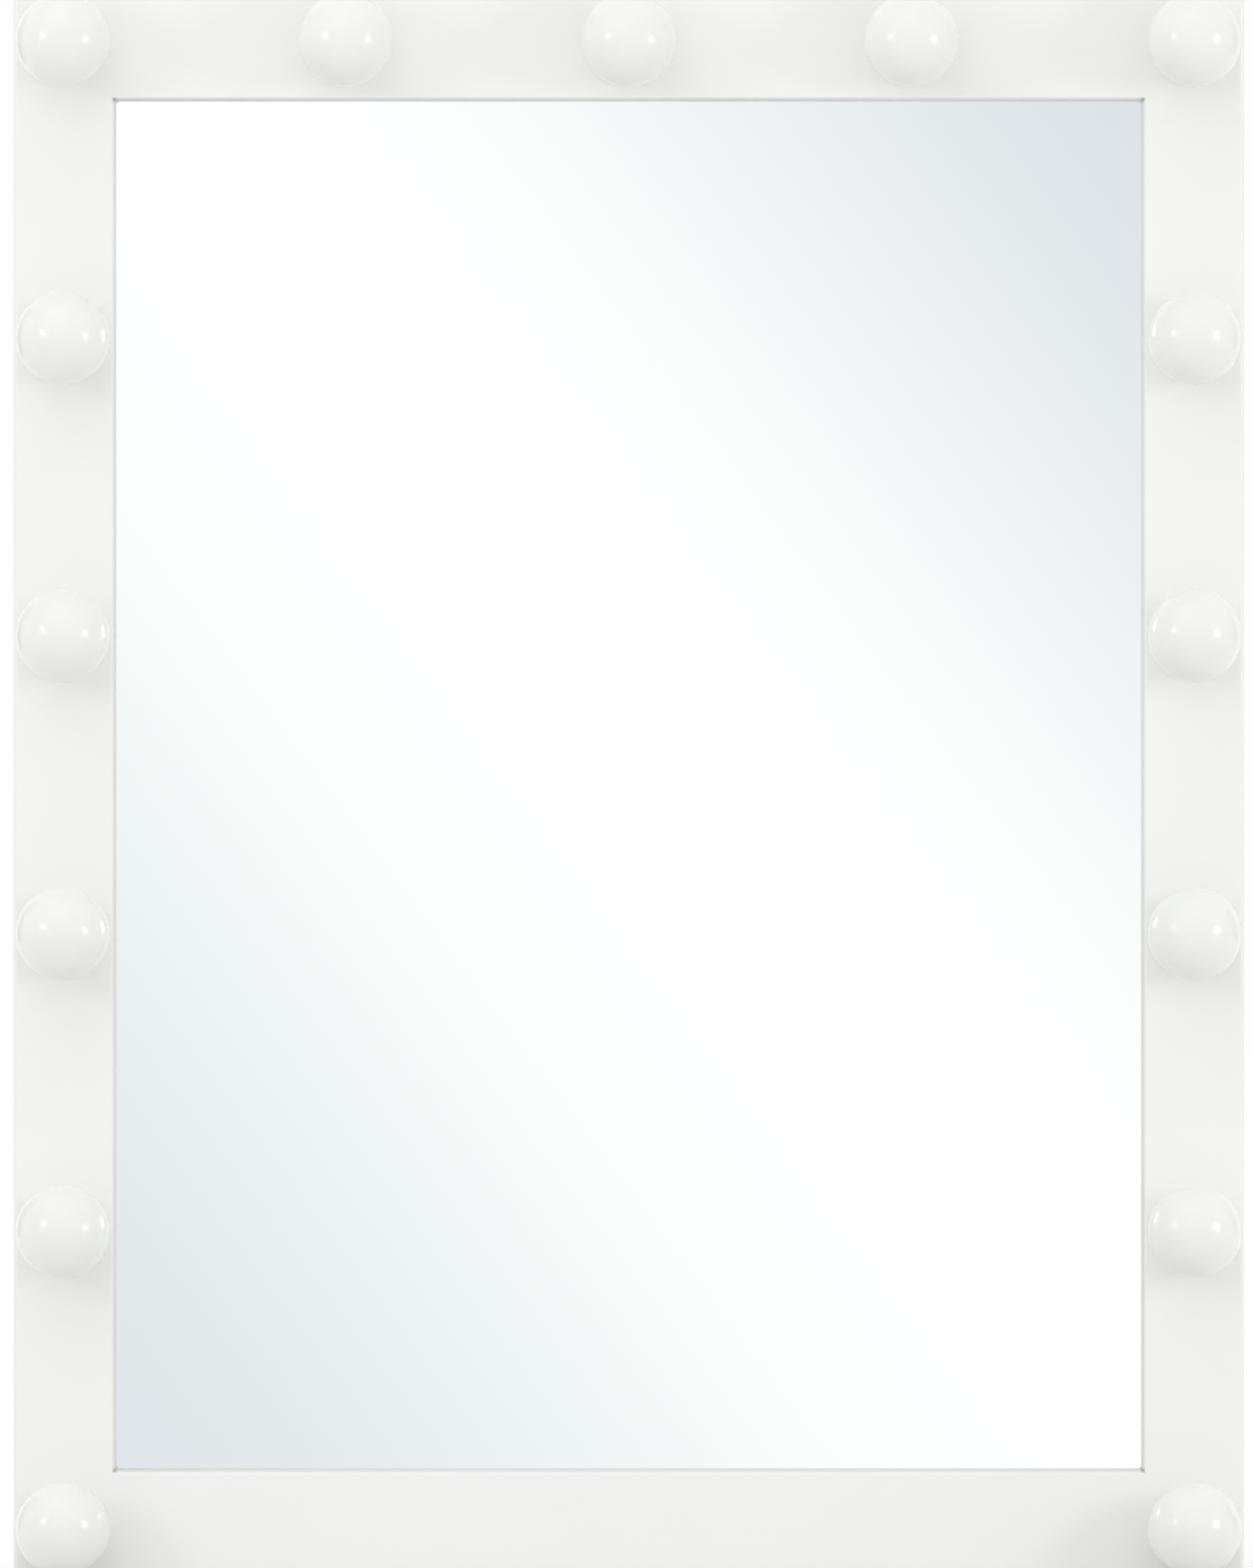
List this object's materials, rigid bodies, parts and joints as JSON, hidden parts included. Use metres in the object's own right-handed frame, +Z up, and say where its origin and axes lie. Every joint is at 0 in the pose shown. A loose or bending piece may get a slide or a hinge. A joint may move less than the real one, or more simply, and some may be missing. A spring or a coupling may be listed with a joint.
{
  "type": "lighted vanity mirror",
  "caption": "Tall white vanity mirror in a flat folded-steel frame, with frosted globe bulbs along its top and both sides, and a wire stand folded against its back.",
  "frame": {"origin": "bottom centre of the whole object, under its base pads, with the folded wire stand and the globes inside the depth", "axes": "+X to the user's right, +Y from the mirror's front to its back, +Z up"},
  "size_m": [0.5, 0.0988, 0.6525],
  "materials": {
    "white_powder_coat": "semi-gloss white powder coat",
    "neoprene_foam": "matt grey foam strip",
    "silvered_glass": "silvered float glass with ground edges",
    "hardboard": "smooth brown hardboard",
    "zinc_steel": "bright zinc plate",
    "white_lampholder": "glossy white moulded plastic",
    "brass_contacts": "plain pressed brass",
    "cable_jacket": "satin white PVC",
    "clear_nylon": "natural nylon",
    "case_plastic": "fine-textured white plastic",
    "circuit_board": "green solder mask with soldered parts",
    "black_plastic": "fine-textured black plastic",
    "pot_metal": "plain pressed metal",
    "chromed_wire": "bright chrome plate",
    "black_rubber": "matt black rubber",
    "opal_globe": "satin opal polycarbonate",
    "lamp_base": "white plastic collar over a nickel-plated screw cap"
  },
  "bodies": {
    "casing": {"front_frame": "white_powder_coat", "lip_gasket": "neoprene_foam", "mirror_glass": "silvered_glass", "backing_board": "hardboard", "mirror_clips": "zinc_steel", "clip_studs": "zinc_steel", "rear_cover": "white_powder_coat", "cover_screws": "zinc_steel", "keyhole_plates": "zinc_steel", "lampholder_rings": "white_lampholder", "lampholder_housings": "white_lampholder", "lampholder_contacts": "brass_contacts", "wiring": "cable_jacket", "cable_clips": "clear_nylon", "driver_case": "case_plastic", "driver_lid": "case_plastic", "driver_board": "circuit_board", "switch_housing": "black_plastic", "dimmer_body": "pot_metal", "panel_nuts": "zinc_steel", "power_inlet": "black_plastic", "stand_brackets": "zinc_steel", "bracket_rivets": "zinc_steel", "base_pads": "black_rubber", "wall_bumpers": "black_rubber"},
    "rocker": {"switch_rocker": "black_plastic"},
    "knob": {"dimmer_shaft": "pot_metal", "dimmer_knob": "black_plastic"},
    "stand": {"stand_wire": "chromed_wire", "stand_sleeves": "black_rubber"},
    "lamp_01": {"bulb_globe_01": "opal_globe", "bulb_base_01": "lamp_base"},
    "lamp_02": {"bulb_globe_02": "opal_globe", "bulb_base_02": "lamp_base"},
    "lamp_03": {"bulb_globe_03": "opal_globe", "bulb_base_03": "lamp_base"},
    "lamp_04": {"bulb_globe_04": "opal_globe", "bulb_base_04": "lamp_base"},
    "lamp_05": {"bulb_globe_05": "opal_globe", "bulb_base_05": "lamp_base"},
    "lamp_06": {"bulb_globe_06": "opal_globe", "bulb_base_06": "lamp_base"},
    "lamp_07": {"bulb_globe_07": "opal_globe", "bulb_base_07": "lamp_base"},
    "lamp_08": {"bulb_globe_08": "opal_globe", "bulb_base_08": "lamp_base"},
    "lamp_09": {"bulb_globe_09": "opal_globe", "bulb_base_09": "lamp_base"},
    "lamp_10": {"bulb_globe_10": "opal_globe", "bulb_base_10": "lamp_base"},
    "lamp_11": {"bulb_globe_11": "opal_globe", "bulb_base_11": "lamp_base"},
    "lamp_12": {"bulb_globe_12": "opal_globe", "bulb_base_12": "lamp_base"},
    "lamp_13": {"bulb_globe_13": "opal_globe", "bulb_base_13": "lamp_base"},
    "lamp_14": {"bulb_globe_14": "opal_globe", "bulb_base_14": "lamp_base"},
    "lamp_15": {"bulb_globe_15": "opal_globe", "bulb_base_15": "lamp_base"}
  },
  "joints": [
    {"name": "switch_rock", "type": "hinge", "parent": "casing", "child": "rocker", "pos_m": [0.176, 0.03225, 0.084], "axis": [1, 0, 0], "range_deg": [0, 24]},
    {"name": "dimmer_turn", "type": "hinge", "parent": "casing", "child": "knob", "pos_m": [0.176, 0.03505, 0.124], "axis": [0, -1, 0], "range_deg": [0, 270]},
    {"name": "stand_fold", "type": "hinge", "parent": "casing", "child": "stand", "pos_m": [0, 0.03975, 0.43], "axis": [1, 0, 0], "range_deg": [0, 25]},
    {"name": "lamp_01_out", "type": "slide", "parent": "casing", "child": "lamp_01", "axis": [0, -1, 0], "range_m": [0, 0.03]},
    {"name": "lamp_02_out", "type": "slide", "parent": "casing", "child": "lamp_02", "axis": [0, -1, 0], "range_m": [0, 0.03]},
    {"name": "lamp_03_out", "type": "slide", "parent": "casing", "child": "lamp_03", "axis": [0, -1, 0], "range_m": [0, 0.03]},
    {"name": "lamp_04_out", "type": "slide", "parent": "casing", "child": "lamp_04", "axis": [0, -1, 0], "range_m": [0, 0.03]},
    {"name": "lamp_05_out", "type": "slide", "parent": "casing", "child": "lamp_05", "axis": [0, -1, 0], "range_m": [0, 0.03]},
    {"name": "lamp_06_out", "type": "slide", "parent": "casing", "child": "lamp_06", "axis": [0, -1, 0], "range_m": [0, 0.03]},
    {"name": "lamp_07_out", "type": "slide", "parent": "casing", "child": "lamp_07", "axis": [0, -1, 0], "range_m": [0, 0.03]},
    {"name": "lamp_08_out", "type": "slide", "parent": "casing", "child": "lamp_08", "axis": [0, -1, 0], "range_m": [0, 0.03]},
    {"name": "lamp_09_out", "type": "slide", "parent": "casing", "child": "lamp_09", "axis": [0, -1, 0], "range_m": [0, 0.03]},
    {"name": "lamp_10_out", "type": "slide", "parent": "casing", "child": "lamp_10", "axis": [0, -1, 0], "range_m": [0, 0.03]},
    {"name": "lamp_11_out", "type": "slide", "parent": "casing", "child": "lamp_11", "axis": [0, -1, 0], "range_m": [0, 0.03]},
    {"name": "lamp_12_out", "type": "slide", "parent": "casing", "child": "lamp_12", "axis": [0, -1, 0], "range_m": [0, 0.03]},
    {"name": "lamp_13_out", "type": "slide", "parent": "casing", "child": "lamp_13", "axis": [0, -1, 0], "range_m": [0, 0.03]},
    {"name": "lamp_14_out", "type": "slide", "parent": "casing", "child": "lamp_14", "axis": [0, -1, 0], "range_m": [0, 0.03]},
    {"name": "lamp_15_out", "type": "slide", "parent": "casing", "child": "lamp_15", "axis": [0, -1, 0], "range_m": [0, 0.03]}
  ]
}
